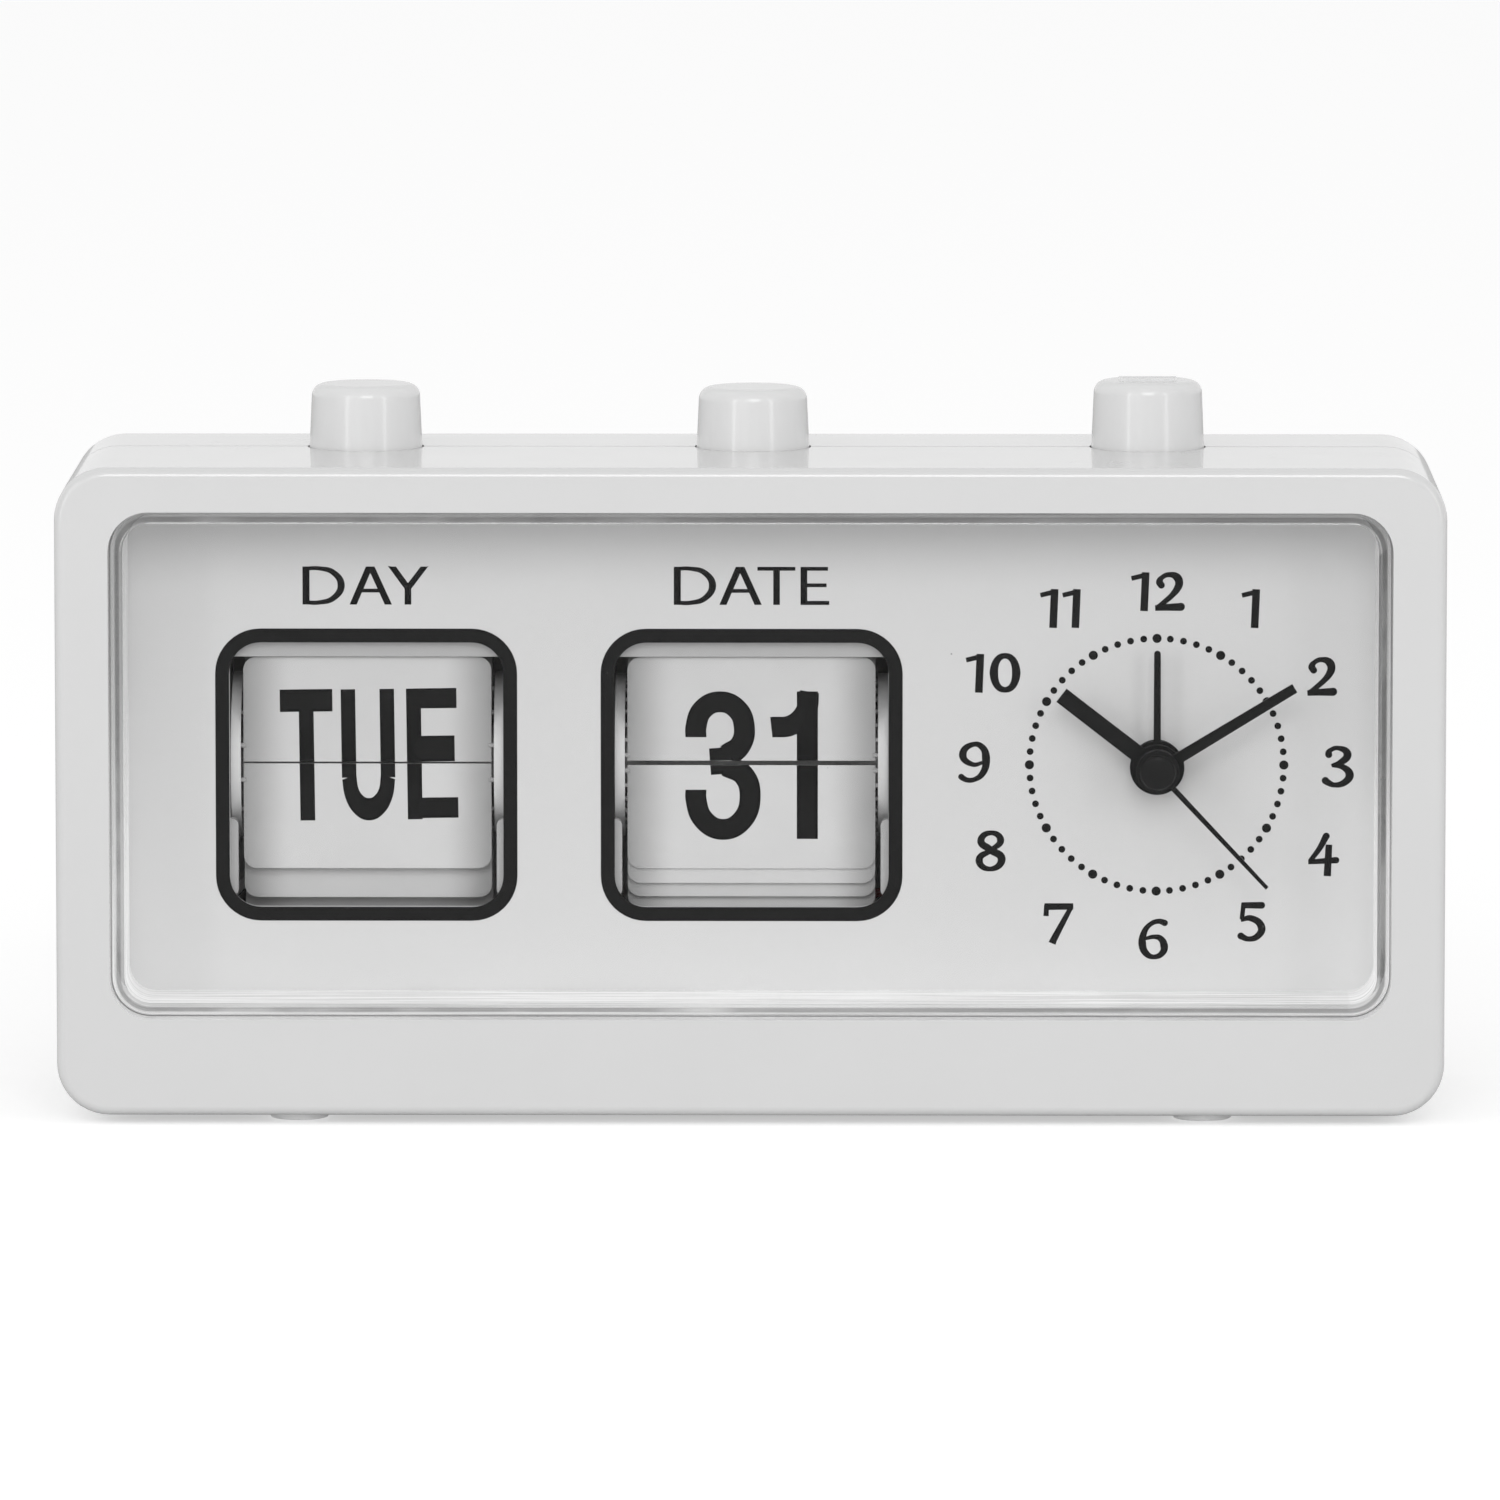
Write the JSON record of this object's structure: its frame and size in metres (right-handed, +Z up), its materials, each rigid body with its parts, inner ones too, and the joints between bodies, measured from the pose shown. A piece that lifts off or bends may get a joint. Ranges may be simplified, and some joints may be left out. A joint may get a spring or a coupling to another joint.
{
  "type": "flip alarm clock",
  "caption": "Free-standing white alarm clock with split-flap day and date windows, a round analogue dial behind a clear front, and push buttons on top that step the flaps.",
  "frame": {"origin": "under the middle of the case, on the plane that the feet stand on", "axes": "+X to the right as seen from the front, +Y to the back, +Z up"},
  "size_m": [0.18, 0.05, 0.0947],
  "materials": {
    "shell_white": "glossy",
    "lens_clear": "clear, glossy",
    "dial_white": "satin",
    "card_white": "satin",
    "drum_white": "satin",
    "hand_black": "satin",
    "movement_black": "matte",
    "foot_rubber": "matte",
    "steel": "satin",
    "brass": "satin",
    "copper_wire": "enamelled",
    "board_green": "satin",
    "lead_red": "matte",
    "cell_blue": "satin"
  },
  "bodies": {
    "case": {"front_shell": "shell_white", "rear_shell": "shell_white", "lens": "lens_clear", "dial_plate": "dial_white", "feet": "foot_rubber", "case_screws": "steel", "dial_screws": "steel", "battery_cell": "cell_blue", "contact_spring": "steel", "contact_plate": "steel", "battery_leads": "lead_red", "buzzer": "movement_black", "buzzer_lead": "lead_red", "movement_front": "movement_black", "movement_rear": "movement_black", "train_plate": "steel", "movement_screws": "steel", "circuit_board": "board_green", "coil": "copper_wire", "stator": "steel", "calendar_frame": "dial_white", "frame_screws": "steel", "day_spring": "steel", "date_spring": "steel", "alarm_spring": "steel", "alarm_switch": "movement_black"},
    "battery_door": {"battery_door": "shell_white"},
    "day_button": {"day_button": "shell_white", "day_push_bar": "steel"},
    "day_drum": {"day_drum": "drum_white", "day_axle": "steel", "day_ratchet": "brass", "day_cards": "card_white"},
    "day_flap": {"day_flap": "card_white"},
    "date_button": {"date_button": "shell_white", "date_push_bar": "steel"},
    "date_drum": {"date_drum": "drum_white", "date_axle": "steel", "date_ratchet": "brass", "date_cards": "card_white"},
    "date_flap": {"date_flap": "card_white"},
    "alarm_button": {"alarm_button": "shell_white"},
    "minute_hand": {"minute_hand": "hand_black", "cannon_pinion": "brass"},
    "minute_wheel": {"minute_wheel": "brass"},
    "hour_hand": {"hour_hand": "hand_black", "hour_wheel": "brass"},
    "time_set_knob": {"time_set_knob": "shell_white"},
    "alarm_hand": {"alarm_hand": "hand_black", "alarm_wheel": "brass"},
    "alarm_set_knob": {"alarm_set_knob": "shell_white"},
    "second_hand": {"second_hand": "hand_black", "second_wheel": "brass"},
    "step_wheel": {"step_wheel": "drum_white"},
    "rotor": {"rotor": "steel"}
  },
  "joints": [
    {"name": "battery_door_pull", "type": "slide", "parent": "case", "child": "battery_door", "axis": [0, 1, 0], "range_m": [0, 0.02]},
    {"name": "day_button_press", "type": "slide", "parent": "case", "child": "day_button", "axis": [0, 0, -1], "range_m": [0, 0.0016], "stiffness_N_per_m": 300, "springref_m": -0.002, "deforming": ["day_spring"]},
    {"name": "day_drum_turn", "type": "hinge", "parent": "case", "child": "day_drum", "pos_m": [-0.0502, 0.0036, 0.0452], "axis": [1, 0, 0], "range_deg": [0, 25.72]},
    {"name": "day_flap_fall", "type": "hinge", "parent": "day_drum", "child": "day_flap", "pos_m": [-0.0502, -0.0063, 0.04746], "axis": [1, 0, 0], "range_deg": [0, 154.3]},
    {"name": "date_button_press", "type": "slide", "parent": "case", "child": "date_button", "axis": [0, 0, -1], "range_m": [0, 0.0016], "stiffness_N_per_m": 300, "springref_m": -0.002, "deforming": ["date_spring"]},
    {"name": "date_drum_turn", "type": "hinge", "parent": "case", "child": "date_drum", "pos_m": [0, 0.0036, 0.0452], "axis": [1, 0, 0], "range_deg": [0, 11.62]},
    {"name": "date_flap_fall", "type": "hinge", "parent": "date_drum", "child": "date_flap", "pos_m": [0, -0.0063, 0.04621], "axis": [1, 0, 0], "range_deg": [0, 168.4]},
    {"name": "alarm_button_press", "type": "slide", "parent": "case", "child": "alarm_button", "axis": [0, 0, -1], "range_m": [0, 0.0016], "stiffness_N_per_m": 300, "springref_m": -0.002, "deforming": ["alarm_spring"]},
    {"name": "minute_hand_turn", "type": "hinge", "parent": "case", "child": "minute_hand", "pos_m": [0.0529, -0.0078, 0.0453], "axis": [0, 1, 0], "continuous": true},
    {"name": "minute_wheel_turn", "type": "hinge", "parent": "case", "child": "minute_wheel", "pos_m": [0.0529, -0.0078, 0.0333], "axis": [0, 1, 0], "continuous": true},
    {"name": "hour_hand_turn", "type": "hinge", "parent": "case", "child": "hour_hand", "pos_m": [0.0529, -0.0078, 0.0453], "axis": [0, 1, 0], "continuous": true},
    {"name": "time_set_knob_turn", "type": "hinge", "parent": "case", "child": "time_set_knob", "pos_m": [0.06418, -0.0078, 0.0292], "axis": [0, 1, 0], "continuous": true},
    {"name": "alarm_hand_turn", "type": "hinge", "parent": "case", "child": "alarm_hand", "pos_m": [0.0529, -0.0078, 0.0453], "axis": [0, 1, 0], "continuous": true},
    {"name": "alarm_set_knob_turn", "type": "hinge", "parent": "case", "child": "alarm_set_knob", "pos_m": [0.06399, -0.0078, 0.0517], "axis": [0, 1, 0], "continuous": true},
    {"name": "second_hand_turn", "type": "hinge", "parent": "case", "child": "second_hand", "pos_m": [0.0529, -0.0078, 0.0453], "axis": [0, 1, 0], "continuous": true},
    {"name": "step_wheel_turn", "type": "hinge", "parent": "case", "child": "step_wheel", "pos_m": [0.04532, -0.0078, 0.04967], "axis": [0, 1, 0], "continuous": true},
    {"name": "rotor_turn", "type": "hinge", "parent": "case", "child": "rotor", "pos_m": [0.03794, -0.0078, 0.05098], "axis": [0, 1, 0], "continuous": true}
  ],
  "couplings": [
    {"joint": "day_drum_turn", "follows": "day_button_press", "rad_per_m": 280.5},
    {"joint": "day_flap_fall", "follows": "day_button_press", "rad_per_m": 1683},
    {"joint": "date_drum_turn", "follows": "date_button_press", "rad_per_m": 126.68},
    {"joint": "date_flap_fall", "follows": "date_button_press", "rad_per_m": 1836.8},
    {"joint": "minute_wheel_turn", "follows": "minute_hand_turn", "ratio": -0.33333},
    {"joint": "hour_hand_turn", "follows": "minute_hand_turn", "ratio": 0.083333},
    {"joint": "time_set_knob_turn", "follows": "minute_hand_turn", "ratio": 1},
    {"joint": "alarm_set_knob_turn", "follows": "alarm_hand_turn", "ratio": -3},
    {"joint": "step_wheel_turn", "follows": "second_hand_turn", "ratio": -6},
    {"joint": "rotor_turn", "follows": "second_hand_turn", "ratio": 30}
  ]
}
